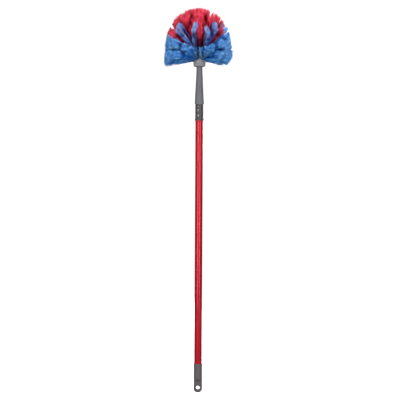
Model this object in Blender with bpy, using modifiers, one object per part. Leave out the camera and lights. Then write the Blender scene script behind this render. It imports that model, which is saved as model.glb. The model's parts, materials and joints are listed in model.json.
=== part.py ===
"""Cobweb duster: a round brush of blue and red bristles on a two-section twist-lock pole.

Metres, +Z up along the pole, origin at the bottom centre of the hand grip, front towards -Y.
Three things move. The inner pole slides out of the outer one, it twists to draw a cone nut into
an expander sleeve that locks it, and the brush head unscrews from the threaded tip.
"""

import math

import bmesh
import bpy
from mathutils import Matrix, Vector

# Outer pole
TUBE_RADIUS = 0.0125
TUBE_WALL = 0.0006
TUBE_BOTTOM = 0.0483
TUBE_TOP = 0.9290
GRIP_LENGTH = 0.093
GRIP_RADIUS = 0.0137
GRIP_END_HEIGHT = 0.0110
CHEEK_OFFSET = 0.0102
CHEEK_TOP = 0.036
HANGING_HOLE_RADIUS = 0.00675
HANGING_HOLE_HEIGHT = 0.0155
COLLAR_TOP = 0.935
COLLAR_LENGTH = 0.0505
COLLAR_RADIUS = 0.01325
COLLAR_RIM_RADIUS = 0.0145
COLLAR_RIM_HEIGHT = 0.0050
BUSH_LENGTH = 0.040

# Inner pole
INNER_RADIUS = 0.0108
INNER_WALL = 0.0006
INNER_BOTTOM = 0.1303
INNER_TOP = 0.9352
SHOULDER_RADIUS = 0.0125
SHOULDER_HEIGHT = 0.0037
TIP_LENGTH = 0.0375  # from the neck's mouth up
TIP_SHANK_LENGTH = 0.0240  # inside the tube
TIP_PIN_DEPTH = 0.0120  # below the tube's top end
PIN_RADIUS = 0.0015
PIN_RECESS = 0.0005

# Screw joint between the threaded tip and the brush neck
THREAD_PITCH = 0.005
THREAD_TURNS = 5
THREAD_ROOT_RADIUS = 0.0085
THREAD_CREST_RADIUS = 0.0103
THREAD_CLEARANCE = 0.0004
THREAD_START = 0.0050  # height of the first turn over the neck's mouth
THREAD_STEPS = 16
RIDGE_HALF_ROOT = 0.0017
RIDGE_HALF_CREST = 0.0008
FLANK_CLEARANCE = 0.00035
GROOVE_LEAD_IN = 1  # turns of groove below the ridge, so that it can leave the neck
GROOVE_RUN_OUT = 0.5  # and above it

# Twist lock
SPINDLE_RADIUS = 0.0040
SPINDLE_TOP = 0.0200  # heights from the inner tube's bottom end
SPINDLE_FOOT = -0.0510
WASHER_RADIUS = 0.0072
WASHER_BOTTOM = -0.0500
WASHER_THICKNESS = 0.0024
PLUG_LENGTH = 0.0320
PLUG_FLANGE_HEIGHT = 0.0038
PLUG_PIN_HEIGHT = 0.0260
SLEEVE_RADIUS = 0.0116
SLEEVE_LENGTH = 0.036
SLEEVE_HEAD = 0.0070  # thickness of its closed end
SLEEVE_HEAD_BORE = 0.0055
SLEEVE_SLIT = 0.0016
SLEEVE_CONE_TOP = 0.0075
SLEEVE_CONE_MOUTH = 0.0100
CONE_LENGTH = 0.016
CONE_SKIRT = 0.004
CONE_GAP = 0.00035

# Brush head, measured up from the neck's mouth
HEAD_SEAT = COLLAR_TOP + 0.0025
RING_THICKNESS = 0.0016
NECK_LENGTH = 0.122
NECK_RIM_RADIUS = 0.01515
NECK_TOP_RADIUS = 0.0100
NECK_HOLLOW_RADIUS = 0.0070
SPIGOT_RADIUS = 0.0075
SPIGOT_LENGTH = 0.0325
FLANGE_RADIUS = 0.0198
FLANGE_HEIGHT = 0.0165
FLANGE_ROUNDING = 0.0045
HUB_RADIUS = 0.0180
TUFT_CENTRE = NECK_LENGTH + 0.0295
HUB_DOME_CENTRE = TUFT_CENTRE + 0.010
HOLE_RADIUS = 0.0024
HOLE_SIDES = 6
HOLE_DEPTH = 0.007
STUB_RADIUS = 0.0018
HUB_PIN_HEIGHT = NECK_LENGTH + 0.0073
HUB_PIN_RADIUS = 0.0030
PIN_SHAFT_LENGTH = 0.0290
PIN_SHAFT_CENTRE = -0.0030
PIN_SEAT_DEPTH = 0.0032
PIN_HEAD = (0.0076, 0.0056)  # half width and half height of the oval head
PIN_FRONT = -0.0213
PIN_SLOT = (0.0100, 0.0030, 0.0016)

GAP = 0.0003  # between pieces that touch
SLIP_FIT = 0.0002  # between a sleeve and the tube or rod in it
EDGE = 0.0006  # bevel of a moulded edge
ROUND = 40
COARSE_ROUND = 32
ROD_SIDES = 20
PIN_SIDES = 16
TUFT_SIDES = 10

# Each row of tufts: name, count, turn of the first tuft from the front, elevation, reach from the
# centre of the tufts, half angles of the spread sideways and up, and the colours in turn.
TUFT_ROWS = (
    ("low", 10, 18, -1, 0.1120, 16.5, 8.0, ("blue",)),
    ("mid", 10, 18, 20, 0.1170, 15.0, 8.0, ("blue",)),
    ("shoulder", 10, 0, 39, 0.1330, 12.5, 8.0, ("red", "blue", "blue", "red", "blue")),
    ("crown", 8, 22.5, 60, 0.1520, 10.0, 8.0, ("red",)),
    ("top", 4, 45, 80, 0.1640, 6.4, 6.4, ("red",)),
)

MATERIALS = {
    "red_lacquer": ((0.50, 0.02, 0.03, 1.0), 0.30, 0.0),
    "dark_grey_plastic": ((0.11, 0.105, 0.11, 1.0), 0.50, 0.0),
    "light_grey_plastic": ((0.20, 0.205, 0.22, 1.0), 0.45, 0.0),
    "galvanised_steel": ((0.62, 0.63, 0.65, 1.0), 0.35, 1.0),
    "natural_nylon": ((0.75, 0.74, 0.70, 1.0), 0.45, 0.0),
    "black_rubber": ((0.03, 0.03, 0.03, 1.0), 0.80, 0.0),
    "blue_bristle": ((0.02, 0.16, 0.55, 1.0), 0.55, 0.0),
    "red_bristle": ((0.55, 0.02, 0.05, 1.0), 0.55, 0.0),
}


# ---------------------------------------------------------------- scene and materials


def clear_scene():
    for obj in list(bpy.data.objects):
        bpy.data.objects.remove(obj, do_unlink=True)


def new_collection(name):
    collection = bpy.data.collections.new(name)
    bpy.context.scene.collection.children.link(collection)
    return collection


def new_material(name):
    colour, roughness, metallic = MATERIALS[name]
    material = bpy.data.materials.new(name)
    material.use_nodes = True
    shader = material.node_tree.nodes["Principled BSDF"]
    shader.inputs["Base Color"].default_value = colour
    shader.inputs["Roughness"].default_value = roughness
    shader.inputs["Metallic"].default_value = metallic
    material.diffuse_color = colour
    return material


def new_frame(name, height, parent=None):
    """An empty on the pole's axis that the pieces of one moving body hang on."""
    frame = bpy.data.objects.new(name, None)
    PARTS.objects.link(frame)
    frame.empty_display_size = 0.02
    frame.parent = parent
    frame.location.z = height - (parent.matrix_world.translation.z if parent else 0.0)
    bpy.context.view_layer.update()
    return frame


# ---------------------------------------------------------------- modelling helpers


def new_object(name, bm, material=None, parent=None):
    mesh = bpy.data.meshes.new(name)
    bm.to_mesh(mesh)
    bm.free()
    obj = bpy.data.objects.new(name, mesh)
    PARTS.objects.link(obj)
    obj.parent = parent
    if material:
        mesh.materials.append(MATERIAL[material])
    return obj


def as_cutter(obj):
    for collection in list(obj.users_collection):
        collection.objects.unlink(obj)
    CUTTERS.objects.link(obj)
    obj.hide_render = True
    obj.display_type = "WIRE"


def turned(name, profile, material, parent, steps=ROUND):
    """A profile of (radius, height) points turned about Z. It runs down the outer side.

    A profile that starts and ends on the axis is solid; any other is closed into a ring.
    """
    bm = bmesh.new()
    points = [bm.verts.new((radius, 0.0, height)) for radius, height in profile]
    for first, second in zip(points, points[1:]):
        bm.edges.new((first, second))
    if profile[0][0] > 0.0:
        bm.edges.new((points[-1], points[0]))
    obj = new_object(name, bm, material, parent)
    screw = obj.modifiers.new("turn", "SCREW")
    screw.axis = "Z"
    screw.angle = 2 * math.pi
    screw.steps = steps
    screw.render_steps = steps
    screw.use_merge_vertices = True
    screw.merge_threshold = 0.00001
    return obj


def tube(name, radius, bore, bottom, top, material, parent, steps=ROUND):
    profile = [(radius, top), (radius, bottom), (bore, bottom), (bore, top)]
    return turned(name, profile, material, parent, steps)


def rod(name, radius, length, centre, axis, sides=ROD_SIDES, oval=(1.0, 1.0)):
    """A cylinder, or an oval one, about its centre and along X or Y."""
    bm = bmesh.new()
    bmesh.ops.create_cone(
        bm, cap_ends=True, segments=sides, radius1=radius, radius2=radius, depth=length
    )
    bmesh.ops.scale(bm, vec=(oval[0], oval[1], 1.0), verts=bm.verts)
    across = "Y" if axis == "X" else "X"
    bmesh.ops.rotate(bm, matrix=Matrix.Rotation(math.pi / 2, 3, across), verts=bm.verts)
    bmesh.ops.translate(bm, vec=centre, verts=bm.verts)
    return new_object(name, bm)


def block(name, size, centre):
    bm = bmesh.new()
    bmesh.ops.create_cube(bm, size=1.0)
    bmesh.ops.scale(bm, vec=size, verts=bm.verts)
    bmesh.ops.translate(bm, vec=centre, verts=bm.verts)
    return new_object(name, bm)


def loft(name, rings, material=None, parent=None):
    """A closed skin through rings of points, each with as many points as the next."""
    bm = bmesh.new()
    rows = [[bm.verts.new(point) for point in ring] for ring in rings]
    count = len(rows[0])
    for lower, upper in zip(rows, rows[1:]):
        for i in range(count):
            j = (i + 1) % count
            bm.faces.new((lower[i], lower[j], upper[j], upper[i]))
    bm.faces.new(list(reversed(rows[0])))
    bm.faces.new(rows[-1])
    bmesh.ops.recalc_face_normals(bm, faces=bm.faces)
    return new_object(name, bm, material, parent)


def boolean(obj, other, operation="DIFFERENCE"):
    """Cut or join with another object, which is placed in the same parent's frame."""
    as_cutter(other)
    other.parent = obj.parent
    modifier = obj.modifiers.new(operation.lower(), "BOOLEAN")
    modifier.object = other
    modifier.operation = operation
    modifier.solver = "EXACT"


def arc(centre, radii, start, end, steps):
    """Points of an elliptical arc in the (radius, height) plane, angles in degrees."""
    points = []
    for i in range(steps + 1):
        angle = math.radians(start + (end - start) * i / steps)
        points.append(
            (centre[0] + radii[0] * math.cos(angle), centre[1] + radii[1] * math.sin(angle))
        )
    return points


def thread_ridge(name, height, turns, root, crest, half_root, half_crest):
    """A helical ridge about Z, thinned at both ends so that it runs out smoothly."""
    sunk = root - EDGE
    steps = round(turns * THREAD_STEPS)
    rings = []
    for i in range(steps + 1):
        fullness = min(1.0, 0.25 + 0.75 * min(i, steps - i) / (THREAD_STEPS / 4))
        angle = 2 * math.pi * i / THREAD_STEPS
        centre = height + THREAD_PITCH * i / THREAD_STEPS
        tip = root + (crest - root) * fullness
        section = (
            (sunk, -half_root),
            (tip, -half_crest),
            (tip, half_crest),
            (sunk, half_root),
        )
        rings.append(
            [(r * math.cos(angle), r * math.sin(angle), centre + z) for r, z in section]
        )
    return loft(name, rings)


def shade_round(obj):
    """Bake the modifiers and shade the round faces smooth, keeping real corners sharp."""
    if obj.modifiers:
        graph = bpy.context.evaluated_depsgraph_get()
        baked = bpy.data.meshes.new_from_object(obj.evaluated_get(graph))
        obj.modifiers.clear()
        obj.data = baked
    obj.data.shade_smooth()
    obj.data.set_sharp_from_angle(angle=math.radians(32))


# ---------------------------------------------------------------- outer pole


def make_outer_tube(frame):
    tube("outer_tube", TUBE_RADIUS, TUBE_RADIUS - TUBE_WALL, TUBE_BOTTOM, TUBE_TOP,
         "red_lacquer", frame)


def make_hand_grip(frame):
    """A moulded end sleeve, flattened round its hanging hole."""
    bore = TUBE_RADIUS + SLIP_FIT
    profile = [
        (0.0, TUBE_BOTTOM - GAP),
        (bore, TUBE_BOTTOM - GAP),
        (bore, GRIP_LENGTH),
        (GRIP_RADIUS - EDGE, GRIP_LENGTH),
        (GRIP_RADIUS, GRIP_LENGTH - EDGE),
    ]
    profile += arc((0.0, GRIP_END_HEIGHT), (GRIP_RADIUS, GRIP_END_HEIGHT), 0, -90, 6)[:-1]
    profile += [(0.0, 0.0)]
    grip = turned("hand_grip", profile, "dark_grey_plastic", frame)
    outside = 2 * GRIP_RADIUS
    slope_top = CHEEK_TOP + 0.012
    for side in (-1, 1):
        outline = [
            (CHEEK_OFFSET, -EDGE),
            (CHEEK_OFFSET, CHEEK_TOP),
            (GRIP_RADIUS + EDGE, slope_top),
            (outside, slope_top),
            (outside, -EDGE),
        ]
        rings = [[(x, side * y, z) for y, z in outline] for x in (-outside, outside)]
        boolean(grip, loft("cheek_cut", rings))
    boolean(grip, rod("hanging_hole_cut", HANGING_HOLE_RADIUS, 2 * outside,
                      (0.0, 0.0, HANGING_HOLE_HEIGHT), "Y", sides=COARSE_ROUND))


def make_tube_collar(frame):
    """A moulded collar over the tube's mouth, with a lip inside and a rim at its foot."""
    bottom = COLLAR_TOP - COLLAR_LENGTH
    rim_top = bottom + COLLAR_RIM_HEIGHT
    bore = TUBE_RADIUS + SLIP_FIT
    lip = INNER_RADIUS + GAP
    profile = [
        (lip, COLLAR_TOP),
        (COLLAR_RADIUS - EDGE, COLLAR_TOP),
        (COLLAR_RADIUS, COLLAR_TOP - EDGE),
        (COLLAR_RADIUS, rim_top + EDGE),
        (COLLAR_RIM_RADIUS - EDGE / 2, rim_top),
        (COLLAR_RIM_RADIUS, rim_top - EDGE),
        (COLLAR_RIM_RADIUS, bottom + EDGE),
        (COLLAR_RIM_RADIUS - EDGE, bottom),
        (bore, bottom),
        (bore, TUBE_TOP + GAP),
        (lip, TUBE_TOP + GAP),
    ]
    turned("tube_collar", profile, "dark_grey_plastic", frame)


def make_collar_bush(frame):
    """The nylon liner that guides the inner tube in the outer tube's mouth."""
    tube("collar_bush", TUBE_RADIUS - TUBE_WALL - SLIP_FIT, INNER_RADIUS + SLIP_FIT,
         TUBE_TOP - BUSH_LENGTH, TUBE_TOP, "natural_nylon", frame)


# ---------------------------------------------------------------- twist lock


def sleeve_bore(height):
    """Radius of the sleeve's tapered bore at this height over its mouth."""
    taper_length = SLEEVE_LENGTH - SLEEVE_HEAD
    return SLEEVE_CONE_MOUTH + (SLEEVE_CONE_TOP - SLEEVE_CONE_MOUTH) * height / taper_length


def make_expander_sleeve(frame, top):
    """A split nylon sleeve that the cone nut spreads against the outer tube's bore."""
    mouth = top - SLEEVE_LENGTH
    taper_top = top - SLEEVE_HEAD
    profile = [
        (SLEEVE_HEAD_BORE, top),
        (SLEEVE_RADIUS - EDGE, top),
        (SLEEVE_RADIUS, top - EDGE),
        (SLEEVE_RADIUS, mouth + EDGE),
        (SLEEVE_RADIUS - EDGE / 2, mouth),
        (sleeve_bore(0.0), mouth),
        (sleeve_bore(taper_top - mouth), taper_top),
        (SLEEVE_HEAD_BORE, taper_top),
    ]
    sleeve = turned("expander_sleeve", profile, "natural_nylon", frame)
    boolean(sleeve, block("sleeve_slit_cut", (2 * SLEEVE_RADIUS, SLEEVE_SLIT, 2 * SLEEVE_LENGTH),
                          (SLEEVE_RADIUS, 0.0, (top + mouth) / 2)))


def make_cone_nut(frame, mouth):
    """The tapered nut on the spindle. It slides in the sleeve's slit and can't turn."""
    foot = mouth - CONE_SKIRT
    top = mouth + CONE_LENGTH
    bore = SPINDLE_RADIUS + GAP
    profile = [
        (bore, top),
        (sleeve_bore(CONE_LENGTH) - CONE_GAP, top),
        (sleeve_bore(0.0) - CONE_GAP, mouth),
        (sleeve_bore(0.0) - CONE_GAP, foot),
        (bore, foot),
    ]
    turned("cone_nut", profile, "dark_grey_plastic", frame, COARSE_ROUND)


# ---------------------------------------------------------------- inner pole


def cross_hole(obj, height):
    boolean(obj, rod(obj.name + "_pin_cut", PIN_RADIUS + GAP, 4 * INNER_RADIUS,
                     (0, 0, height), "X", sides=PIN_SIDES))


def make_cross_pin(name, height, frame):
    length = 2 * (INNER_RADIUS - PIN_RECESS)
    pin = rod(name, PIN_RADIUS, length, (0, 0, height), "X", sides=PIN_SIDES)
    pin.parent = frame
    pin.data.materials.append(MATERIAL["galvanised_steel"])


def make_inner_pole(frame):
    """Local heights start at the inner tube's bottom end."""
    length = INNER_TOP - INNER_BOTTOM
    tip_pin_height = length - TIP_PIN_DEPTH
    inner_tube = tube("inner_tube", INNER_RADIUS, INNER_RADIUS - INNER_WALL, 0.0, length,
                      "galvanised_steel", frame)
    cross_hole(inner_tube, PLUG_PIN_HEIGHT)
    cross_hole(inner_tube, tip_pin_height)
    make_cross_pin("plug_pin", PLUG_PIN_HEIGHT, frame)
    make_cross_pin("tip_pin", tip_pin_height, frame)
    make_lock_plug(frame)
    make_lock_spindle(frame)
    make_thread_tip(frame, length, tip_pin_height)


def make_lock_plug(frame):
    """The plug in the tube's foot, with a flange that the tube's end rests on."""
    shank = INNER_RADIUS - INNER_WALL - GAP
    flange = SLEEVE_RADIUS - SLIP_FIT
    flange_bottom = -GAP - PLUG_FLANGE_HEIGHT
    bore = SPINDLE_RADIUS + GAP
    profile = [
        (0.0, PLUG_LENGTH),
        (shank - EDGE, PLUG_LENGTH),
        (shank, PLUG_LENGTH - 2 * EDGE),
        (shank, -GAP),
        (flange, -GAP),
        (flange, flange_bottom),
        (bore, flange_bottom),
        (bore, SPINDLE_TOP + GAP),
        (0.0, SPINDLE_TOP + GAP),
    ]
    plug = turned("lock_plug", profile, "dark_grey_plastic", frame, COARSE_ROUND)
    cross_hole(plug, PLUG_PIN_HEIGHT)


def make_lock_spindle(frame):
    """The spindle fixed in the plug, and the washer that keeps the nut on it."""
    profile = [
        (0.0, SPINDLE_TOP),
        (SPINDLE_RADIUS, SPINDLE_TOP),
        (SPINDLE_RADIUS, SPINDLE_FOOT + EDGE),
        (SPINDLE_RADIUS - EDGE, SPINDLE_FOOT),
        (0.0, SPINDLE_FOOT),
    ]
    turned("lock_spindle", profile, "galvanised_steel", frame, COARSE_ROUND)
    tube("spindle_washer", WASHER_RADIUS, SPINDLE_RADIUS + GAP, WASHER_BOTTOM,
         WASHER_BOTTOM + WASHER_THICKNESS, "galvanised_steel", frame, COARSE_ROUND)


def make_thread_tip(frame, length, pin_height):
    """The moulded tip in the tube's top end, with the thread that the brush screws on."""
    shank = INNER_RADIUS - INNER_WALL - GAP
    shoulder_bottom = length + GAP
    shoulder_top = shoulder_bottom + SHOULDER_HEIGHT
    shank_bottom = length - TIP_SHANK_LENGTH
    mouth = HEAD_SEAT - INNER_BOTTOM
    tip_top = mouth + TIP_LENGTH
    profile = [
        (0.0, tip_top),
        (THREAD_ROOT_RADIUS - 4 * EDGE, tip_top),
        (THREAD_ROOT_RADIUS, tip_top - 7 * EDGE),
        (THREAD_ROOT_RADIUS, shoulder_top),
        (SHOULDER_RADIUS - EDGE, shoulder_top),
        (SHOULDER_RADIUS, shoulder_top - EDGE),
        (SHOULDER_RADIUS, shoulder_bottom),
        (shank, shoulder_bottom),
        (shank, shank_bottom + 2 * EDGE),
        (shank - EDGE, shank_bottom),
        (0.0, shank_bottom),
    ]
    tip = turned("thread_tip", profile, "dark_grey_plastic", frame, COARSE_ROUND)
    ridge = thread_ridge("tip_thread", mouth + THREAD_START, THREAD_TURNS,
                         THREAD_ROOT_RADIUS, THREAD_CREST_RADIUS,
                         RIDGE_HALF_ROOT, RIDGE_HALF_CREST)
    boolean(tip, ridge, "UNION")
    cross_hole(tip, pin_height)


# ---------------------------------------------------------------- brush head


def make_seat_ring(frame):
    """The rubber ring that the neck tightens down on."""
    tube("seat_ring", SHOULDER_RADIUS, INNER_RADIUS, 0.0, RING_THICKNESS,
         "black_rubber", frame, COARSE_ROUND)


def make_brush_neck(frame, ring_top):
    """The tapered socket, threaded inside, with a spigot on top that the hub sits on."""
    bore = THREAD_ROOT_RADIUS + THREAD_CLEARANCE
    ceiling = ring_top + GAP
    mouth = SHOULDER_RADIUS + GAP
    shoulder = NECK_LENGTH - GAP
    spigot_top = NECK_LENGTH + SPIGOT_LENGTH
    profile = [
        (0.0, spigot_top),
        (SPIGOT_RADIUS - EDGE, spigot_top),
        (SPIGOT_RADIUS, spigot_top - EDGE),
        (SPIGOT_RADIUS, shoulder),
        (NECK_TOP_RADIUS, shoulder),
        (0.0103, 0.1030),
        (0.0117, 0.0745),
        (0.0129, 0.0480),
        (0.0143, 0.0230),
        (0.0147, 0.0085),
        (NECK_RIM_RADIUS, 0.0060),
        (NECK_RIM_RADIUS, EDGE),
        (NECK_RIM_RADIUS - EDGE, 0.0),
        (mouth, 0.0),
        (mouth, ceiling),
        (bore, ceiling),
        (bore, 0.0410),
        (NECK_HOLLOW_RADIUS, 0.0440),
        (NECK_HOLLOW_RADIUS, 0.0980),
        (0.0, 0.1020),
    ]
    neck = turned("brush_neck", profile, "light_grey_plastic", frame, COARSE_ROUND)
    groove = thread_ridge(
        "neck_thread", THREAD_START - GROOVE_LEAD_IN * THREAD_PITCH,
        GROOVE_LEAD_IN + THREAD_TURNS + GROOVE_RUN_OUT,
        THREAD_ROOT_RADIUS, THREAD_CREST_RADIUS + THREAD_CLEARANCE,
        RIDGE_HALF_ROOT + FLANK_CLEARANCE, RIDGE_HALF_CREST + FLANK_CLEARANCE)
    boolean(neck, groove)
    boolean(neck, rod("spigot_pin_cut", HUB_PIN_RADIUS + GAP, 4 * SPIGOT_RADIUS,
                      (0, 0, HUB_PIN_HEIGHT), "Y"))


def hub_surface(elevation):
    """Distance from the tufts' centre to the hub's skin along a ray at this elevation."""
    rise = HUB_DOME_CENTRE - TUFT_CENTRE
    if HUB_RADIUS * math.tan(elevation) <= rise:
        return HUB_RADIUS / math.cos(elevation)
    across = rise * math.cos(elevation)
    return rise * math.sin(elevation) + math.sqrt(HUB_RADIUS**2 - across**2)


def tuft_matrix(turn, elevation):
    """Local Z along the tuft, local X level with the floor; the turn is from the front."""
    along = Vector((
        math.cos(elevation) * math.sin(turn),
        -math.cos(elevation) * math.cos(turn),
        math.sin(elevation),
    ))
    level = Vector((math.cos(turn), math.sin(turn), 0.0))
    upright = along.cross(level)
    turned_to = Matrix((level, upright, along)).transposed()
    return Matrix.Translation((0, 0, TUFT_CENTRE)) @ turned_to.to_4x4()


def tuft_places():
    """Name, colour, matrix, elevation, reach and spread of every tuft."""
    for row, count, first, elevation, reach, wide, tall, colours in TUFT_ROWS:
        for i in range(count):
            turn = math.radians(first + 360 / count * i)
            yield (
                f"tuft_{row}_{i + 1:02d}",
                colours[i % len(colours)],
                tuft_matrix(turn, math.radians(elevation)),
                math.radians(elevation),
                reach,
                (math.radians(wide), math.radians(tall)),
            )


def make_brush_hub(frame):
    """The domed hub, with a flange below it, a bore for the spigot and a hole for each tuft."""
    step = NECK_LENGTH + FLANGE_HEIGHT
    bore = SPIGOT_RADIUS + GAP
    bore_top = NECK_LENGTH + SPIGOT_LENGTH + 3 * GAP
    profile = [(0.0, HUB_DOME_CENTRE + HUB_RADIUS)]
    profile += arc((0.0, HUB_DOME_CENTRE), (HUB_RADIUS, HUB_RADIUS), 90, 0, 9)[1:]
    profile += [
        (HUB_RADIUS, step + EDGE),
        (FLANGE_RADIUS - EDGE, step),
        (FLANGE_RADIUS, step - EDGE),
    ]
    profile += arc((FLANGE_RADIUS - FLANGE_ROUNDING, NECK_LENGTH + FLANGE_ROUNDING),
                   (FLANGE_ROUNDING, FLANGE_ROUNDING), 0, -90, 4)
    profile += [(bore, NECK_LENGTH), (bore, bore_top), (0.0, bore_top)]
    hub = turned("brush_hub", profile, "light_grey_plastic", frame, COARSE_ROUND)
    boolean(hub, rod("pin_seat_cut", 1.0, 2 * PIN_SEAT_DEPTH, (0, -FLANGE_RADIUS, HUB_PIN_HEIGHT),
                     "Y", COARSE_ROUND, (PIN_HEAD[0] + GAP, PIN_HEAD[1] + GAP)))
    boolean(hub, rod("pin_shaft_cut", HUB_PIN_RADIUS + GAP, PIN_SHAFT_LENGTH + 4 * EDGE,
                     (0, PIN_SHAFT_CENTRE, HUB_PIN_HEIGHT), "Y"))
    holes = bmesh.new()
    for _, _, matrix, elevation, _, _ in tuft_places():
        centre = hub_surface(elevation)
        bmesh.ops.create_cone(
            holes, cap_ends=True, segments=HOLE_SIDES, radius1=HOLE_RADIUS, radius2=HOLE_RADIUS,
            depth=2 * HOLE_DEPTH, matrix=matrix @ Matrix.Translation((0, 0, centre)))
    boolean(hub, new_object("tuft_holes_cut", holes))


def make_hub_pin(frame):
    """A slotted pin with an oval head, which holds the hub on the spigot."""
    back = -FLANGE_RADIUS + PIN_SEAT_DEPTH - GAP
    outline = (  # distance along Y, and size against the full head
        (back, 0.95),
        (back - EDGE, 1.0),
        (PIN_FRONT + 2 * EDGE, 1.0),
        (PIN_FRONT + EDGE, 0.90),
        (PIN_FRONT, 0.70),
    )
    angles = [2 * math.pi * i / COARSE_ROUND for i in range(COARSE_ROUND)]
    rings = [
        [(PIN_HEAD[0] * size * math.cos(angle), y,
          HUB_PIN_HEIGHT + PIN_HEAD[1] * size * math.sin(angle)) for angle in angles]
        for y, size in outline
    ]
    pin = loft("hub_pin", rings, "light_grey_plastic", frame)
    shaft = rod("hub_pin_shaft", HUB_PIN_RADIUS, PIN_SHAFT_LENGTH,
                (0, PIN_SHAFT_CENTRE, HUB_PIN_HEIGHT), "Y")
    boolean(pin, shaft, "UNION")
    boolean(pin, block("hub_pin_slot_cut", PIN_SLOT, (0, PIN_FRONT, HUB_PIN_HEIGHT)))


def make_tuft(name, colour, matrix, elevation, reach, spread, frame):
    """One bundle of bristles: a round stub in its hole, flaring to an oval domed end."""
    skin = hub_surface(elevation)
    foot = skin - HOLE_DEPTH + GAP
    wide, tall = (reach * math.tan(angle) for angle in spread)
    edge = reach * math.cos(spread[0])
    sections = (  # distance along the tuft, half width and half height
        (foot, STUB_RADIUS, STUB_RADIUS),
        (skin + EDGE, STUB_RADIUS, STUB_RADIUS),
        (edge, wide, tall),
        (edge + (reach - edge) * 0.70, wide * 0.65, tall * 0.65),
        (reach, wide * 0.25, tall * 0.25),
    )
    angles = [2 * math.pi * i / TUFT_SIDES for i in range(TUFT_SIDES)]
    rings = [
        [(half_x * math.cos(angle), half_y * math.sin(angle), height) for angle in angles]
        for height, half_x, half_y in sections
    ]
    tuft = loft(name, rings, colour + "_bristle", frame)
    tuft.matrix_local = matrix


# ---------------------------------------------------------------- assembly


def build():
    pole = new_frame("outer_pole_frame", 0.0)
    make_outer_tube(pole)
    make_hand_grip(pole)
    make_tube_collar(pole)
    make_collar_bush(pole)

    flange_bottom = INNER_BOTTOM - GAP - PLUG_FLANGE_HEIGHT
    lock = new_frame("lock_carriage_frame", flange_bottom, pole)
    sleeve_top = -GAP
    make_expander_sleeve(lock, sleeve_top)
    nut = new_frame("cone_nut_frame", flange_bottom, lock)
    make_cone_nut(nut, sleeve_top - SLEEVE_LENGTH)

    inner = new_frame("inner_pole_frame", INNER_BOTTOM, lock)
    make_inner_pole(inner)

    ring_bottom = INNER_TOP + GAP + SHOULDER_HEIGHT + GAP
    ring = new_frame("seat_ring_frame", ring_bottom, inner)
    make_seat_ring(ring)

    head = new_frame("brush_head_frame", HEAD_SEAT, ring)
    make_brush_neck(head, ring_bottom + RING_THICKNESS - HEAD_SEAT)
    make_brush_hub(head)
    make_hub_pin(head)
    for place in tuft_places():
        make_tuft(*place, head)

    bpy.context.view_layer.update()
    for obj in PARTS.objects:
        if obj.type == "MESH":
            shade_round(obj)


clear_scene()
PARTS = new_collection("cobweb_duster")
CUTTERS = new_collection("cutters")
MATERIAL = {name: new_material(name) for name in MATERIALS}
build()
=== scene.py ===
"""Looks of the cobweb duster: split bristles on the brush, and the finish of every other piece.

Metres, +Z up along the pole, front towards -Y. The pieces of the pole, the neck, the hub and the
twist lock keep the CAD shapes. Each tuft's plain solid is replaced by a bundle of filaments.
"""

import json
import math

import bpy
import numpy as np
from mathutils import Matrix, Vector


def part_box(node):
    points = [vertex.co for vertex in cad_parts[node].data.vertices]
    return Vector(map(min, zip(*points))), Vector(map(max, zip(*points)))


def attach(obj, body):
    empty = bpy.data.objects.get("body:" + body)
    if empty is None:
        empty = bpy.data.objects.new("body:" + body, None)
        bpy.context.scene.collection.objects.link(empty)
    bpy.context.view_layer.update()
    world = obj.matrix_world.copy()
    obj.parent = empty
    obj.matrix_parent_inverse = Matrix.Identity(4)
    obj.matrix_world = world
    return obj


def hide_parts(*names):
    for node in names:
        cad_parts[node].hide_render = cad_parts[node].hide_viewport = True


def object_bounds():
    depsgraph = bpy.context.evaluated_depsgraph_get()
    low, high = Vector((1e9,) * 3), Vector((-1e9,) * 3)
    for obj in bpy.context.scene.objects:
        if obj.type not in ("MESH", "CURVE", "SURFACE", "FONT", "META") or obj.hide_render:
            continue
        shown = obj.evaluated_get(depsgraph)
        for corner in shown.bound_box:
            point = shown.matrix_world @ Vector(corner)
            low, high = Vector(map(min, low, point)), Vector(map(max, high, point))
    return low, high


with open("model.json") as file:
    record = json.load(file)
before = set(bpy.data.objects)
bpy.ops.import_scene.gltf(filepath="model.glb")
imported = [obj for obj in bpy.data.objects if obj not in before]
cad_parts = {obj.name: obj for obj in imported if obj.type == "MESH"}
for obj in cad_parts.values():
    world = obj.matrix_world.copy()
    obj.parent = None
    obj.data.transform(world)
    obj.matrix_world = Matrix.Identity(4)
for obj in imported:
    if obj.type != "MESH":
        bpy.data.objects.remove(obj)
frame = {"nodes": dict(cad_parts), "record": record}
CAD_LOW, CAD_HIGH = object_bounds()

# The brush
HUB_LOW, HUB_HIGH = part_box("brush_hub")
HUB_RADIUS = 0.0180
TUFTS_OVER_HUB_FOOT = 0.0295
CENTRE = np.array((0.0, 0.0, HUB_LOW.z + TUFTS_OVER_HUB_FOOT))
DOME_RADIUS = (CAD_HIGH.x - CAD_LOW.x) / 2
DOME_TRIM = 0.975  # the longest ends stand past the trimmed dome by about the rest
DOME_HEIGHT = DOME_TRIM * (CAD_HIGH.z - CENTRE[2])
DOME_POWER = 2.3  # of the superellipse that the bristle ends are cut to
TIPS_SHIFT = np.array((-0.0045, 0.0, 0.0))  # the whole brush is combed to one side

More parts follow.
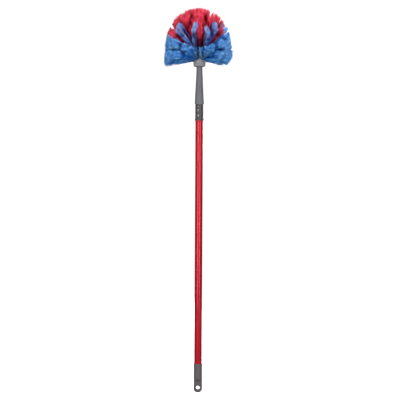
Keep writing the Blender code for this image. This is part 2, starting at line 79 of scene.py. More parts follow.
# Bundles: half a tuft is a bundle, and its filaments keep together in clumps, called locks
LOCKS_OUT = 0.82  # how far out of the bundle's middle the outermost lock lies
LOCK_SPREAD = 0.66  # of a lock, against an even spread
LOCK_BEND = 0.004
LONGEST = 1.025  # shares of the dome's reach
LOCK_SHORTER = 0.028
STRAND_SHORTER = 0.014
FINGER_ROUNDING = 0.04  # how much shorter a bundle's outermost filaments are
ROW_ROUNDING = 0.014
SQUARE_POWER = 4.0  # of a bundle's rounded square outline
FRONT_GAPS = 0.10  # how much narrower the tufts that face forwards are, as a share
LEAN_SCATTER = 0.8  # degrees
ROOT_DEPTH = 0.004
ROOT_RADIUS = 0.0016
ROOT_SPREAD = 0.55  # shares of the root's radius
ROOT_APART = 0.45
LEAVING_ALONG = 0.22  # shares of a filament's reach: how straight out of the hub it leaves
LEAVING_TO_TIP = 0.16

# One filament
SIDES = 3
STEM_RADIUS = 0.00030
STEM_SEGMENTS = 4
STEM_END = 0.55  # its radius at the split, as a share
HAIRS = 4
HAIR_RADIUS = 0.00015
HAIR_TAPER = (1.1, 0.6)
HAIR_SEGMENTS = 2
SPLIT_AT = 0.78  # where a filament splits into hairs, as a share of its length
SPLIT_OVERLAP = 0.03
HAIR_SPREAD = 0.0026
HAIR_SHORTER = 0.0012  # metres off its end
KINK = 0.0009  # how far a filament strays from its smooth path

RANDOM_SEED = 20

# The hanging hole in the hand grip: the height of its middle, and its radius with a margin
HANGING_HOLE = (0.0155, 0.0071)
# Painted shade: black painted inside the hanging hole, where shadow falls
BORE_PAINTED_SHADE = (0.004, 0.004, 0.005)

# Marks on the collar
COLLAR_RADIUS = 0.01325
MARK_FOOT = COLLAR_RADIUS - 0.0003
MARK_TOP = COLLAR_RADIUS + 0.0004
MARK_WIDTH = 0.0011
MARK_TURN = math.radians(-14)
BAR_HEIGHT = 0.9290
STROKE_HEIGHT = 0.9175
RING_HEIGHT = 0.9005
RING_RADIUS = 0.0017
RING_STEPS = 20
BAR_STEP = 0.0008  # along each line of five points
STROKE_STEP = (0.0007, 0.0018)

# Camera and stage
CAMERA_HEIGHT = 0.626
CAMERA_DISTANCE = 4.0
CAMERA_SIDE = 0.0039
CAMERA_ROLL = math.radians(-0.3)
VIEW_HEIGHT = 1.302  # seen at the pole's distance
SENSOR = 36.0
AMBIENT = 0.22
FLOOR_RADIUS = 10.0
COVE_RADIUS = 2.5
COVE_STEPS = 12
WALL_HEIGHT = 10.0
STAGE_SIDES = 64
STAGE_GLOW = 0.9


# ---------------------------------------------------------------- bristles


class Row:
    """How the tufts of one row spread. Angles are in degrees, from the tuft's own axis."""

    def __init__(self, strands, apart, wide, tall, rise=(0.0, 0.0, 0.0), locks=20, drop=0.0):
        self.strands = strands  # filaments in each half of a tuft
        self.apart = apart  # how far each half leans aside
        self.wide = wide  # half width of each half
        self.tall = tall  # half height of each half
        self.rise = rise  # how far a tuft leans up at the front, the sides and the back
        self.locks = locks  # clumps in each half
        self.drop = drop  # how far below the rest its lowest filaments leave the hub


ROWS = {
    "low": Row(230, 9.0, 10.2, 13.0, (2.5, -1.0, 11.0), 30, 0.009),
    "mid": Row(230, 8.6, 9.8, 13.5, (0.0, 2.5, 3.0), 30),
    "shoulder": Row(200, 7.6, 7.8, 11.5, locks=24),
    "crown": Row(210, 5.8, 5.8, 12.0, locks=22),
    "top": Row(190, 4.0, 5.0, 11.0, locks=18),
}


class Lean:
    """A half tuft that stands out of its row: where it leans and how it spreads, in degrees."""

    def __init__(self, side, up, wide, tall, length=1.0, rounding=FINGER_ROUNDING):
        self.side = side
        self.up = up
        self.wide = wide
        self.tall = tall
        self.length = length
        self.rounding = rounding


# At the front the blue halves stand apart like fingers, and red shows between them. The halves
# of the two lower rows are combed to the sides there, and close up at the back.
LEANS = {
    ("tuft_shoulder_10", -1): Lean(-6.0, 5.0, 4.8, 8.5),
    ("tuft_shoulder_10", 1): Lean(21.5, 7.0, 3.8, 10.0, 1.02),
    ("tuft_shoulder_01", -1): Lean(0.5, 2.0, 3.6, 14.0, 0.97),
    ("tuft_shoulder_01", 1): Lean(3.6, 2.0, 3.6, 14.0, 0.97),
    ("tuft_shoulder_02", -1): Lean(-15.5, -1.5, 3.8, 9.5, 1.02),
    ("tuft_shoulder_02", 1): Lean(0.5, 5.5, 4.2, 8.5, 1.01),
    ("tuft_crown_08", 1): Lean(9.5, 0.0, 6.8, 12.0, 1.0, ROW_ROUNDING),
    ("tuft_crown_02", -1): Lean(-12.2, -18.0, 3.2, 6.0),
    ("tuft_crown_02", 1): Lean(2.0, 0.0, 8.5, 12.0, 1.0, ROW_ROUNDING),
    ("tuft_crown_01", -1): Lean(-9.5, 0.0, 6.8, 12.0, 1.0, ROW_ROUNDING),
    ("tuft_shoulder_09", 1): Lean(12.0, 0.0, 8.0, 11.0),
    ("tuft_mid_08", -1): Lean(-8.6, 3.0, 8.8, 17.5),
    ("tuft_mid_08", 1): Lean(8.6, 4.0, 8.8, 17.5),
    ("tuft_mid_09", -1): Lean(-17.0, 6.0, 7.0, 12.0),
    ("tuft_mid_09", 1): Lean(-5.0, 3.0, 6.6, 11.0),
    ("tuft_mid_10", -1): Lean(-27.5, 3.0, 6.5, 9.0),
    ("tuft_mid_10", 1): Lean(-8.0, -7.0, 6.0, 8.0, 0.97),
    ("tuft_mid_01", -1): Lean(8.0, -8.0, 6.0, 8.0, 0.97),
    ("tuft_mid_01", 1): Lean(27.5, 3.0, 6.5, 9.0),
    ("tuft_mid_02", -1): Lean(5.0, -3.0, 6.6, 11.0),
    ("tuft_mid_02", 1): Lean(17.0, 0.0, 7.0, 12.0),
    ("tuft_low_09", -1): Lean(-17.0, 0.0, 8.0, 11.0),
    ("tuft_low_09", 1): Lean(-5.0, 1.0, 8.0, 11.0),
    ("tuft_low_02", -1): Lean(5.0, 1.0, 8.0, 11.0),
    ("tuft_low_02", 1): Lean(17.0, 0.0, 8.0, 11.0),
    ("tuft_low_08", -1): Lean(-9.0, -1.5, 9.2, 15.0),
    ("tuft_low_08", 1): Lean(9.0, -1.5, 9.2, 15.0),
    ("tuft_low_03", -1): Lean(-9.0, 6.0, 9.2, 10.5, 1.02),
    ("tuft_low_03", 1): Lean(9.0, -3.0, 9.2, 10.5, 0.88),
    ("tuft_low_10", -1): Lean(-25.0, 1.0, 11.0, 9.0),
    ("tuft_low_10", 1): Lean(6.0, 7.0, 13.5, 9.0),
    ("tuft_low_01", -1): Lean(-6.0, 7.0, 13.5, 9.0),
    ("tuft_low_01", 1): Lean(25.0, 1.0, 11.0, 9.0),
    ("tuft_low_05", 1): Lean(14.0, 8.0, 11.5, 14.0, 1.0, ROW_ROUNDING),
    ("tuft_low_06", -1): Lean(-14.0, 8.0, 11.5, 14.0, 1.0, ROW_ROUNDING),
    ("tuft_mid_05", 1): Lean(13.0, 2.0, 10.5, 13.5, 1.0, ROW_ROUNDING),
    ("tuft_mid_06", -1): Lean(-13.0, 2.0, 10.5, 13.5, 1.0, ROW_ROUNDING),
}

# Notches in the outline, where the ends have parted: degrees from upright, towards +X, and the
# half width in degrees of the bristles that they push aside
PARTINGS = {-41.0: 3.6, 16.0: 3.2, 30.5: 2.0, 48.0: 3.6, 76.0: 3.6}
PARTING_PUSH = 0.62
PARTING_DEPTH = 0.36  # how far to the front or the back a heading may lie and still part


def unit(vectors):
    return vectors / np.linalg.norm(vectors, axis=-1, keepdims=True)


def dome_reach(directions):
    """Distance from the tufts' centre to the brush's trimmed surface along each direction."""
    level = np.hypot(directions[:, 0], directions[:, 1])
    rise = np.maximum(directions[:, 2], 0.0)
    total = (level / DOME_RADIUS) ** DOME_POWER + (rise / DOME_HEIGHT) ** DOME_POWER
    return total ** (-1 / DOME_POWER)


def disc(rng, count):
    """Random points in a unit disc, evenly spread."""
    turn = rng.uniform(0, 2 * math.pi, count)
    out = np.sqrt(rng.uniform(0, 1, count))
    return np.stack((out * np.cos(turn), out * np.sin(turn)), axis=1)


def squared(spots):
    """Spots of a unit disc pushed out towards the corners of a rounded square."""
    out = np.linalg.norm(spots, axis=1, keepdims=True)
    corner = (np.abs(spots) ** SQUARE_POWER).sum(axis=1, keepdims=True) ** (1 / SQUARE_POWER)
    return spots * out / np.maximum(corner, 1e-9)


def lock_centres(rng, count):
    """Where the clumps of a bundle lie in its unit disc."""
    golden = math.pi * (3 - math.sqrt(5))
    index = np.arange(count) + 0.5
    out = LOCKS_OUT * np.sqrt(index / count)
    turn = golden * index + rng.uniform(0, 2 * math.pi)
    return np.stack((out * np.cos(turn), out * np.sin(turn)), axis=1)


def tuft_axes(name):
    """A tuft's own direction, its level sideways direction and its upward one, as unit vectors."""
    points = np.array([v.co for v in frame["nodes"][name].data.vertices])
    along = unit(points.mean(axis=0) - CENTRE)
    side = unit(np.cross(along, (0.0, 0.0, 1.0)))
    side = -side if side @ np.array((-along[1], along[0], 0.0)) < 0 else side
    return along, side, np.cross(along, side)


def hub_skin(along):
    """Distance from the tufts' centre to the hub's skin along a tuft's axis."""
    dome = HUB_HIGH.z - HUB_RADIUS - CENTRE[2]
    rise, level = along[2], math.hypot(along[0], along[1])
    if level * dome >= HUB_RADIUS * rise:
        return HUB_RADIUS / level
    return rise * dome + math.sqrt(HUB_RADIUS**2 - (dome * level) ** 2)


def tuft_rise(row, along):
    """How far a tuft leans up, in degrees, by the way it faces."""
    front = -along[1] / math.hypot(along[0], along[1])
    facing = row.rise[0] if front > 0 else row.rise[2]
    return facing * front**2 + row.rise[1] * (1 - front**2)


def parted(headings):
    """Turns the headings beside a parting away from it, about the front-to-back axis."""
    for angle, half_width in PARTINGS.items():
        width = math.radians(half_width)
        off = np.arctan2(headings[:, 0], headings[:, 2]) - math.radians(angle)
        near = (np.abs(off) < width) & (np.abs(headings[:, 1]) < PARTING_DEPTH)
        turn = np.where(near, np.sign(off) * (width - np.abs(off)) * PARTING_PUSH, 0.0)
        x, y, z = headings.T
        headings = np.stack((x * np.cos(turn) + z * np.sin(turn), y,
                             z * np.cos(turn) - x * np.sin(turn)), axis=1)
    return headings


def half_lean(rng, name, half, along):
    """How one half of a tuft leans and spreads."""
    row = ROWS[name.split("_")[1]]
    scatter = rng.normal(0, LEAN_SCATTER, 2)
    if (name, half) in LEANS:
        return LEANS[name, half]
    wide = row.wide * (1 - FRONT_GAPS * max(0.0, -along[1]))
    return Lean(half * row.apart + scatter[0], tuft_rise(row, along) + scatter[1], wide,
                row.tall, 1.0, ROW_ROUNDING)


def half_bundle(rng, name, half):
    """Paths of one half of a tuft's filaments: control points, and the tone of each."""
    row = ROWS[name.split("_")[1]]
    along, side, up = tuft_axes(name)
    lean = half_lean(rng, name, half, along)

    centres = lock_centres(rng, row.locks)
    lock = rng.integers(0, row.locks, row.strands)
    spot = centres[lock] + disc(rng, row.strands) * (LOCK_SPREAD / math.sqrt(row.locks))
    radius = np.linalg.norm(spot, axis=1)
    spot = squared(spot)
    across = np.radians(lean.side + spot[:, 0] * lean.wide)
    rising = np.radians(lean.up + spot[:, 1] * lean.tall)
    heading = unit(along + np.tan(across)[:, None] * side + np.tan(rising)[:, None] * up)
    heading = parted(heading)

    shorter = np.abs(rng.normal(0, LOCK_SHORTER, row.locks))[lock]
    length = LONGEST - shorter - np.abs(rng.normal(0, STRAND_SHORTER, row.strands))
    length = lean.length * (length - lean.rounding * radius**2)
    tip = CENTRE + TIPS_SHIFT + heading * (dome_reach(heading) * length)[:, None]

    sunk = hub_skin(along) - ROOT_DEPTH
    root_spot = spot * ROOT_SPREAD + np.array((half * ROOT_APART, 0.0))
    root = CENTRE + along * sunk + ROOT_RADIUS * (root_spot[:, :1] * side + root_spot[:, 1:] * up)
    root[:, 2] += row.drop * np.minimum(spot[:, 1], 0.0)
    reach = np.linalg.norm(tip - root, axis=1)[:, None]
    bend = rng.normal(0, LOCK_BEND, (row.locks, 3))[lock]
    guide = root + along * reach * LEAVING_ALONG + (tip - root) * LEAVING_TO_TIP + bend
    tone = rng.uniform(0, 1, row.locks)[lock]
    return root, guide, tip, tone


def along_path(root, guide, tip, share):
    """Points at these shares of each filament's curved path: strands by shares by 3."""
    s = np.atleast_1d(share)[None, :, None]
    return (1 - s) ** 2 * root[:, None] + 2 * s * (1 - s) * guide[:, None] + s**2 * tip[:, None]


def prisms(rng, paths, radii):
    """Closed three-sided rods along paths: points and faces."""
    count, rings = paths.shape[:2]
    run = unit(paths[:, -1] - paths[:, 0])
    first = unit(np.cross(run, unit(rng.normal(size=(count, 3)))))
    second = np.cross(run, first)
    turn = 2 * math.pi * np.arange(SIDES) / SIDES
    cosine, sine = np.cos(turn)[None, :, None], np.sin(turn)[None, :, None]
    spoke = cosine * first[:, None] + sine * second[:, None]
    points = paths[:, :, None] + radii[None, :, None, None] * spoke[:, None]

    base = (np.arange(count) * rings * SIDES)[:, None, None]
    ring = (np.arange(rings - 1) * SIDES)[None, :, None]
    i = np.arange(SIDES)[None, None, :]
    j = (i + 1) % SIDES
    quads = np.stack(
        (base + ring + i, base + ring + j, base + ring + SIDES + j, base + ring + SIDES + i),
        axis=-1,
    ).reshape(-1, 4)
    start = base[:, 0, :] + np.arange(SIDES)[None, ::-1]
    end = base[:, 0, :] + (rings - 1) * SIDES + np.arange(SIDES)[None, :]
    return points.reshape(-1, 3), quads, np.concatenate((start, end))


def strand_colours(shares, random, tone):
    """Vertex values: share of the length, the filament's own random value and its lock's tone."""
    count, rings = len(random), len(shares)
    values = np.ones((count, rings, SIDES, 4))
    values[..., 0] = shares[None, :, None]
    values[..., 1] = random[:, None, None]
    values[..., 2] = tone[:, None, None]
    return values.reshape(-1, 4)


def tuft_mesh(name, rng):
    """Points, four-sided faces, three-sided ends and vertex values of one tuft's filaments."""
    points, quads, caps, values = [], [], [], []
    used = 0

    def add(paths, radii, shares, random, tone):
        nonlocal used
        new_points, new_quads, new_caps = prisms(rng, paths, radii)
        points.append(new_points)
        quads.append(new_quads + used)
        caps.append(new_caps + used)
        values.append(strand_colours(shares, random, tone))
        used += len(new_points)

    for half in (-1, 1):
        root, guide, tip, tone = half_bundle(rng, name, half)
        count = len(root)
        random = rng.uniform(0, 1, count)

        shares = np.linspace(0, SPLIT_AT + SPLIT_OVERLAP, STEM_SEGMENTS + 1)
        stems = along_path(root, guide, tip, shares)
        stems[:, 2:-1] += rng.normal(0, KINK / 2, (count, STEM_SEGMENTS - 2, 3))
        thickness = STEM_RADIUS * np.array([1.0] * STEM_SEGMENTS + [STEM_END])
        add(stems, thickness, shares, random, tone)

        fork = along_path(root, guide, tip, SPLIT_AT)[:, 0]
        run = unit(tip - fork)
        for _ in range(HAIRS):
            spread = rng.normal(0, HAIR_SPREAD / 2, (count, 3))
            spread -= (spread * run).sum(axis=1)[:, None] * run
            end = tip + spread - run * np.abs(rng.normal(0, HAIR_SHORTER, count))[:, None]
            shares = np.linspace(SPLIT_AT, 1.0, HAIR_SEGMENTS + 1)
            s = np.linspace(0, 1, HAIR_SEGMENTS + 1)[None, :, None]
            bow = rng.normal(0, KINK / 2, (count, 1, 3)) * np.sin(math.pi * s)
            hairs = fork[:, None] * (1 - s) + end[:, None] * s + bow
            thickness = HAIR_RADIUS * np.linspace(*HAIR_TAPER, HAIR_SEGMENTS + 1)
            add(hairs, thickness, shares, random, tone)

    return (np.concatenate(points), np.concatenate(quads), np.concatenate(caps),
            np.concatenate(values))


def new_mesh(name, points, quads, triangles):
    """A smooth-shaded mesh from arrays of points, four-sided faces and three-sided ones."""
    mesh = bpy.data.meshes.new(name)
    mesh.vertices.add(len(points))
    mesh.vertices.foreach_set("co", points.astype(np.float32).ravel())
    corners = np.concatenate((quads.ravel(), triangles.ravel())).astype(np.int32)
    mesh.loops.add(len(corners))
    mesh.loops.foreach_set("vertex_index", corners)
    sizes = np.concatenate((np.full(len(quads), 4), np.full(len(triangles), 3)))
    mesh.polygons.add(len(sizes))
    starts = np.concatenate(((0,), np.cumsum(sizes)[:-1])).astype(np.int32)
    mesh.polygons.foreach_set("loop_start", starts)
    mesh.update(calc_edges=True)
    mesh.shade_smooth()
    return mesh


def new_object(name, data):
    made = bpy.data.objects.new(name, data)
    bpy.context.scene.collection.objects.link(made)
    return made


def make_bristles(name, colour, rng):
    """Replaces one tuft's plain solid by its filaments."""
    points, quads, caps, values = tuft_mesh(name, rng)
    mesh = new_mesh(name.replace("tuft", "bristles"), points, quads, caps)
    strand = mesh.attributes.new("strand", "FLOAT_COLOR", "POINT")
    strand.data.foreach_set("color", values.astype(np.float32).ravel())
    mesh.materials.append(MATERIAL[SHADES.get(name, colour + "_bristle")])
    bundle = new_object(mesh.name, mesh)
    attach(bundle, "brush_head")
    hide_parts(name)


# ---------------------------------------------------------------- marks on the collar


def mark_on_collar(name, path, closed=False):
    """A raised line on the collar: its path is given as distance round the collar and height."""
    path = np.array(path)
    step = np.roll(path, -1, axis=0) - np.roll(path, 1, axis=0)
    if not closed:
        step[0] = path[1] - path[0]
        step[-1] = path[-1] - path[-2]
    aside = unit(step)[:, ::-1] * (-1.0, 1.0) * MARK_WIDTH / 2
    rings = []
    for offset, radius in ((-1, MARK_FOOT), (1, MARK_FOOT), (1, MARK_TOP), (-1, MARK_TOP)):
        spot = path + offset * aside
        turn = MARK_TURN + spot[:, 0] / COLLAR_RADIUS
        rings.append(np.stack((radius * np.sin(turn), -radius * np.cos(turn), spot[:, 1]), axis=1))
    points = np.stack(rings, axis=1).reshape(-1, 3)
    count = len(path)
    quads = []
    for i in range(count if closed else count - 1):
        here, there = 4 * i, 4 * ((i + 1) % count)
        for k in range(4):
            quads.append((here + k, here + (k + 1) % 4, there + (k + 1) % 4, there + k))
    if not closed:
        quads.append((3, 2, 1, 0))
        quads.append(tuple(4 * count - 4 + k for k in range(4)))
    mesh = new_mesh(name, points, np.array(quads), np.zeros((0, 3), int))
    mesh.shade_flat()
    # painted highlight: paler than the collar
    mesh.materials.append(MATERIAL["mark_painted_highlight"])
    mark = new_object(name, mesh)
    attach(mark, "outer_pole")


def make_collar_marks():
    """A bar, a slanting stroke and a ring, which show the way to twist."""
    mark_on_collar("mark_bar", [(BAR_STEP * i, BAR_HEIGHT) for i in range(-2, 3)])
    aside, up = STROKE_STEP
    mark_on_collar("mark_stroke", [(aside * i, STROKE_HEIGHT + up * i) for i in range(-2, 3)])
    turns = [2 * math.pi * i / RING_STEPS for i in range(RING_STEPS)]
    ring = [(RING_RADIUS * math.cos(a), RING_HEIGHT + RING_RADIUS * math.sin(a)) for a in turns]
    mark_on_collar("mark_ring", ring, closed=True)


# ---------------------------------------------------------------- materials


class Shader:
    """A node material with one Principled shader, built up by short calls."""

    def __init__(self, name, roughness, metallic=0.0, **constants):
        self.material = bpy.data.materials.new(name)
        self.material.use_nodes = True
        self.tree = self.material.node_tree
        self.principled = self.tree.nodes["Principled BSDF"]
        self.set(self.principled, Roughness=roughness, Metallic=metallic)
        for socket, value in constants.items():
            self.principled.inputs[socket.replace("_", " ")].default_value = value
        self.place = self.node("ShaderNodeTexCoord").outputs["Object"]

    def plug(self, socket, value):
        """Links a node's output to a socket, or sets the socket to a constant."""
        if isinstance(value, bpy.types.NodeSocket):
            self.tree.links.new(value, socket)
        else:
            socket.default_value = value

    def set(self, node, **inputs):
        for socket, value in inputs.items():
            self.plug(node.inputs[socket.replace("_", " ")], value)
        return node

    def node(self, kind, **inputs):
        return self.set(self.tree.nodes.new(kind), **inputs)

    def scaled(self, x, y, z):
        """The object's coordinates, scaled along each axis."""
        mapping = self.node("ShaderNodeMapping", Vector=self.place)
        mapping.inputs["Scale"].default_value = (x, y, z)
        return mapping.outputs["Vector"]

    def distance(self, height):
        """Distance from a line that runs from front to back through the axis at this height."""
        mapping = self.node("ShaderNodeMapping", Vector=self.place)
        mapping.inputs["Location"].default_value = (0.0, 0.0, -height)
        mapping.inputs["Scale"].default_value = (1.0, 0.0, 1.0)
        length = self.node("ShaderNodeVectorMath")
        length.operation = "LENGTH"
        self.plug(length.inputs[0], mapping.outputs["Vector"])
        return length.outputs["Value"]

    def noise(self, scale, detail=2.0, roughness=0.5, vector=None):
        node = self.node("ShaderNodeTexNoise", Scale=scale, Detail=detail, Roughness=roughness,
                         Vector=vector or self.place)
        return node.outputs["Fac"]

    def ramp(self, factor, *stops):
        """A colour ramp through (position, colour or grey) stops."""
        node = self.node("ShaderNodeValToRGB", Fac=factor)
        elements = node.color_ramp.elements
        while len(elements) < len(stops):
            elements.new(0.5)
        for element, (position, colour) in zip(elements, stops):
            element.position = position
            grey = isinstance(colour, (int, float))
            element.color = (colour, colour, colour, 1.0) if grey else (*colour, 1.0)
        return node.outputs["Color"]

    def math(self, operation, first, second=0.0):
        node = self.tree.nodes.new("ShaderNodeMath")
        node.operation = operation
        for socket, value in zip(node.inputs, (first, second)):
            self.plug(socket, value)
        return node.outputs["Value"]

    def mix(self, factor, first, second):
        """A mix of two colours, each an output or three numbers."""
        node = self.tree.nodes.new("ShaderNodeMix")
        node.data_type = "RGBA"
        self.plug(node.inputs[0], factor)
        for socket, value in ((6, first), (7, second)):  # its colour sockets
            self.plug(node.inputs[socket], (*value, 1.0) if isinstance(value, tuple) else value)
        return node.outputs[2]

    def colour(self, value):
        self.set(self.principled, Base_Color=value)

    def rough(self, value):
        self.set(self.principled, Roughness=value)

    def bump(self, height, depth):
        """Relief of this depth in metres from a height that runs from 0 to 1."""
        node = self.node("ShaderNodeBump", Height=height, Distance=depth)
        self.set(self.principled, Normal=node.outputs["Normal"])


def bristle_material(name, shades, root_shade_from, root_shade_to):
    """Split plastic filament: clumps of several tones, with painted shade deep at the root, and
    paler where frayed.

    The painted shade at the root gives way between two shares of the length.
    """
    deep, body, light, tip = shades
    look = Shader(name, 0.45, Specular_IOR_Level=0.45)
    strand = look.node("ShaderNodeAttribute")
    strand.attribute_name = "strand"
    parts = look.node("ShaderNodeSeparateColor", Color=strand.outputs["Color"])
    share, random, tone = (parts.outputs[i] for i in range(3))
    patch = look.math("MULTIPLY", look.noise(75.0, 3.0, 0.65), 0.25)
    mixed = look.math("ADD", look.math("MULTIPLY", tone, 0.55), look.math("MULTIPLY", random, 0.2))
    toned = look.ramp(look.math("ADD", mixed, patch),
                      (0.31, deep), (0.44, body), (0.54, body), (0.71, light))
    # painted shade: darker towards the root, among the crowded bristles
    root_painted_shade = look.ramp(share, (root_shade_from, 0.0), (root_shade_to, 1.0))
    frayed = look.math("MULTIPLY", look.ramp(share, (0.80, 0.0), (0.98, 1.0)), random)
    frayed = look.math("MULTIPLY", frayed, 0.6)
    look.colour(look.mix(frayed, look.mix(root_painted_shade, deep, toned), tip))
    look.rough(look.math("ADD", 0.30, look.math("MULTIPLY", look.noise(900.0), 0.35)))
    look.bump(look.noise(1800.0), 0.00005)
    return look.material


def lacquer_material():
    """Red lacquer over steel, rubbed paler in long streaks, with a thin clear coat."""
    look = Shader("red_lacquer", 0.3, 0.32, Specular_IOR_Level=0.15, Coat_Weight=0.20,
                  Coat_Roughness=0.14)
    base = look.mix(look.noise(9.0, 3.0, 0.6), (0.350, 0.002, 0.011), (0.400, 0.003, 0.014))
    drawn = look.noise(1.0, 3.0, 0.6, look.scaled(500, 500, 3))
    rubbed = look.ramp(drawn, (0.55, 0.0), (0.80, 1.0))
    look.colour(look.mix(look.math("MULTIPLY", rubbed, 0.10), base, (0.50, 0.03, 0.05)))
    look.rough(look.ramp(look.noise(12.0, 4.0, 0.6), (0.3, 0.28), (0.7, 0.36)))
    look.bump(look.noise(600.0, 2.0), 0.000004)
    return look.material


def moulded_material(name, shades, roughness, bore=None):
    """Injection-moulded plastic with a fine spark-eroded grain and rubbed, paler patches.

    A bore is a hole from front to back, as its height and radius, whose inside gets painted shade
    in black.
    """
    dark, pale = shades
    look = Shader(name, roughness, Specular_IOR_Level=0.4)
    cloudy = look.noise(35.0, 4.0, 0.6)
    grain = look.noise(2600.0, 2.0, 0.6)
    mixed = look.mix(look.ramp(cloudy, (0.35, 0.0), (0.70, 1.0)), dark, pale)
    colour = look.mix(look.math("MULTIPLY", grain, 0.20), mixed, tuple(c * 1.6 for c in pale))
    worn = look.math("ADD", roughness - 0.08, look.math("MULTIPLY", cloudy, 0.16))
    if bore:
        height, radius = bore
        inside = look.math("LESS_THAN", look.distance(height), radius)
        # painted shade inside the bore
        colour = look.mix(inside, colour, BORE_PAINTED_SHADE)
        worn = look.math("MAXIMUM", worn, inside)
    look.colour(colour)
    look.rough(worn)
    look.bump(grain, 0.00006)
    return look.material


def steel_material():
    """Zinc plate with faint spangles, drawn lengthways."""
    look = Shader("galvanised_steel", 0.45, 1.0)
    spangle = look.node("ShaderNodeTexVoronoi", Vector=look.place, Scale=260.0).outputs["Color"]
    cells = look.node("ShaderNodeSeparateColor", Color=spangle).outputs[0]
    look.colour(look.ramp(cells, (0.0, (0.25, 0.255, 0.27)), (1.0, (0.36, 0.365, 0.375))))
    drawn = look.noise(1.0, 3.0, 0.6, look.scaled(1600, 1600, 20))
    look.rough(look.ramp(drawn, (0.3, 0.38), (0.7, 0.55)))
    look.bump(drawn, 0.00002)
    return look.material


def nylon_material():
    """Undyed nylon, waxy and slightly cloudy."""
    look = Shader("natural_nylon", 0.4, Subsurface_Weight=0.2, Subsurface_Scale=0.002)
    look.colour(look.mix(look.noise(60.0, 3.0), (0.66, 0.65, 0.60), (0.78, 0.77, 0.73)))
    look.rough(look.math("ADD", 0.34, look.math("MULTIPLY", look.noise(700.0), 0.16)))
    look.bump(look.noise(1500.0), 0.00003)
    return look.material


def rubber_material():
    """Dusty black rubber."""
    look = Shader("black_rubber", 0.8)
    look.colour(look.mix(look.noise(90.0, 4.0), (0.018, 0.018, 0.018), (0.045, 0.044, 0.043)))
    look.rough(look.math("ADD", 0.68, look.math("MULTIPLY", look.noise(300.0), 0.22)))
    look.bump(look.noise(1300.0, 3.0), 0.00008)
    return look.material


def stage_material():
    """The pale floor and wall, which glow a little."""
    look = Shader("white_stage", 0.9, Specular_IOR_Level=0.0)
    look.colour(look.mix(look.noise(1.5), (0.90, 0.90, 0.90), (0.92, 0.92, 0.92)))
    look.principled.inputs["Emission Color"].default_value = (1, 1, 1, 1)
    look.principled.inputs["Emission Strength"].default_value = STAGE_GLOW
    return look.material


# ---------------------------------------------------------------- stage


def make_stage():
    """A round floor that curves up into a wall all round, and neither lights nor mirrors."""
    outline = [(0.0, 0.0), (FLOOR_RADIUS, 0.0)]
    for i in range(1, COVE_STEPS + 1):
        angle = math.pi / 2 * i / COVE_STEPS
        rise = COVE_RADIUS * (1 - math.cos(angle))
        outline.append((FLOOR_RADIUS + COVE_RADIUS * math.sin(angle), rise))
    outline.append((FLOOR_RADIUS + COVE_RADIUS, WALL_HEIGHT))
    points = [(0.0, 0.0, 0.0)]
    for out, rise in outline[1:]:
        for k in range(STAGE_SIDES):
            turn = 2 * math.pi * k / STAGE_SIDES
            points.append((out * math.cos(turn), out * math.sin(turn), rise))
    following = [(k + 1) % STAGE_SIDES for k in range(STAGE_SIDES)]
    triangles = [(0, 1 + k, 1 + following[k]) for k in range(STAGE_SIDES)]
    quads = []
    for ring in range(len(outline) - 2):
        inner, outer = 1 + ring * STAGE_SIDES, 1 + (ring + 1) * STAGE_SIDES
        for k in range(STAGE_SIDES):
            quads.append((inner + k, outer + k, outer + following[k], inner + following[k]))
    mesh = new_mesh("floor", np.array(points), np.array(quads), np.array(triangles))
    mesh.materials.append(stage_material())
    floor = new_object("floor", mesh)
    floor.visible_diffuse = False
    floor.visible_glossy = False


def area_light(name, place, target, size, power):
    light = bpy.data.lights.new(name, "AREA")
    light.shape = "RECTANGLE"
    light.size, light.size_y = size
    light.energy = power
    lamp = new_object(name, light)
    lamp.location = place
    lamp.rotation_euler = (Vector(target) - Vector(place)).to_track_quat("-Z", "Y").to_euler()


def make_lights():
    area_light("key", (-1.9, -3.2, 0.75), (0, 0, 0.4), (1.3, 1.5), 76)
    area_light("fill", (1.9, -3.2, 0.75), (0, 0, 0.4), (1.3, 1.5), 64)
    area_light("top", (0.2, -1.0, 2.9), (0, 0, 1.2), (1.2, 1.2), 44)
    area_light("back", (0.3, 3.4, 1.7), (0, 0, 0.8), (1.0, 1.6), 90)
    area_light("left", (-3.2, 1.4, 1.5), (0, 0, 0.8), (1.0, 1.6), 9)
    area_light("right", (3.2, 1.4, 1.5), (0, 0, 0.8), (1.0, 1.6), 9)
    world = bpy.data.worlds.new("studio")
    world.use_nodes = True
    background = world.node_tree.nodes["Background"]
    background.inputs["Color"].default_value = (1, 1, 1, 1)
    background.inputs["Strength"].default_value = AMBIENT
    bpy.context.scene.world = world


def make_camera():
    data = bpy.data.cameras.new("camera")
    data.sensor_width = SENSOR
    data.lens = SENSOR * CAMERA_DISTANCE / VIEW_HEIGHT
    camera = new_object("camera", data)
    camera.location = (CAMERA_SIDE, -CAMERA_DISTANCE, CAMERA_HEIGHT)
    camera.rotation_euler = (math.pi / 2, CAMERA_ROLL, 0)
    bpy.context.scene.camera = camera


# ---------------------------------------------------------------- assembly


DARK_GREY = (0.076, 0.064, 0.068), (0.098, 0.084, 0.088)
LIGHT_GREY = (0.108, 0.110, 0.118), (0.138, 0.140, 0.149)
# Painted light: a paler copy of the light grey plastic for the hub and its pin, against the shade
# of the bristles over them
LIGHT_GREY_PAINTED_LIGHT = (0.245, 0.240, 0.262), (0.300, 0.294, 0.318)
# Painted shade: a darker copy of the dark grey plastic for the collar, which is more strongly lit
# than the grip
DARK_GREY_PAINTED_SHADE = (0.042, 0.039, 0.041), (0.056, 0.051, 0.054)
# Painted highlight: the collar's raised marks are painted paler than the collar, for the light
# they catch
MARK_PAINTED_HIGHLIGHT = (0.50, 0.50, 0.50), (0.60, 0.60, 0.60)
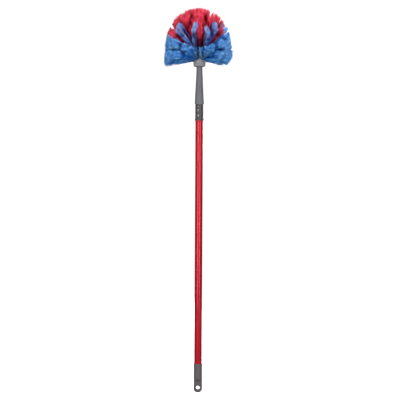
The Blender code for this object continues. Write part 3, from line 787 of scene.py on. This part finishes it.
# Bristles: their deep, body, light and tip shades
BLUE = ((0.001, 0.060, 0.350), (0.008, 0.270, 0.860), (0.240, 0.650, 0.990),
        (0.240, 0.520, 0.800))
# Painted light: blue with a violet deep shade, for red light shining through from the red tufts
# behind
BLUE_PAINTED_RED_LIGHT = ((0.110, 0.012, 0.240), (0.060, 0.220, 0.720), (0.310, 0.580, 0.920),
                 (0.400, 0.560, 0.760))
RED = ((0.270, 0.001, 0.010), (0.700, 0.006, 0.040), (0.930, 0.055, 0.120),
       (0.620, 0.055, 0.115))
# Painted shade: red darkened along most of its length, where its blue neighbours shade it
RED_PAINTED_SHADE = ((0.080, 0.001, 0.030), (0.640, 0.006, 0.040), (0.900, 0.045, 0.110),
              (0.620, 0.055, 0.115))

MATERIAL = {
    "red_lacquer": lacquer_material(),
    "dark_grey_plastic": moulded_material("dark_grey_plastic", DARK_GREY, 0.50),
    "light_grey_plastic": moulded_material("light_grey_plastic", LIGHT_GREY, 0.42),
    "light_grey_plastic_painted_light": moulded_material("light_grey_plastic_painted_light", LIGHT_GREY_PAINTED_LIGHT, 0.40),
    "grip_plastic_painted_bore_shade": moulded_material("grip_plastic_painted_bore_shade", DARK_GREY, 0.50, HANGING_HOLE),
    "dark_grey_plastic_painted_shade": moulded_material("dark_grey_plastic_painted_shade", DARK_GREY_PAINTED_SHADE, 0.46),
    "mark_painted_highlight": moulded_material("mark_painted_highlight", MARK_PAINTED_HIGHLIGHT, 0.45),
    "galvanised_steel": steel_material(),
    "natural_nylon": nylon_material(),
    "black_rubber": rubber_material(),
    "blue_bristle": bristle_material("blue_bristle", BLUE, 0.09, 0.36),
    "blue_bristle_painted_red_light": bristle_material(
        "blue_bristle_painted_red_light", BLUE_PAINTED_RED_LIGHT, 0.165, 0.66),
    "red_bristle": bristle_material("red_bristle", RED, 0.15, 0.60),
    "red_bristle_painted_shade": bristle_material("red_bristle_painted_shade", RED_PAINTED_SHADE, 0.50, 0.92),
}
SHADES = {  # pieces that look different from the rest of their plastic
    # painted light: paler than their light grey plastic, against the bristles' shade
    "brush_hub": "light_grey_plastic_painted_light",
    "hub_pin": "light_grey_plastic_painted_light",
    # painted shade: darker than the grip's dark grey plastic
    "tube_collar": "dark_grey_plastic_painted_shade",
    # the hand grip gets painted shade inside its hanging hole
    "hand_grip": "grip_plastic_painted_bore_shade",
    "tuft_shoulder_10": "blue_bristle_painted_red_light",  # painted light: red from the red tufts behind, shining through the blue
    "tuft_shoulder_02": "blue_bristle_painted_red_light",
    "tuft_shoulder_01": "red_bristle_painted_shade",  # painted shade, deep between its blue neighbours
}


def dress_frame():
    """Gives bristles to each tuft, and every other CAD node the finish of its slot."""
    rng = np.random.default_rng(RANDOM_SEED)
    for part in frame["record"]["subparts"]:
        name, slot = part["node"], part["material_slot"]
        if name.startswith("tuft_"):
            make_bristles(name, slot.split("_")[0], rng)
            continue
        piece = frame["nodes"][name]
        piece.data.materials.clear()
        piece.data.materials.append(MATERIAL[SHADES.get(name, slot)])


make_camera()
make_stage()
make_lights()
dress_frame()
make_collar_marks()
bpy.context.scene.view_settings.view_transform = "Standard"
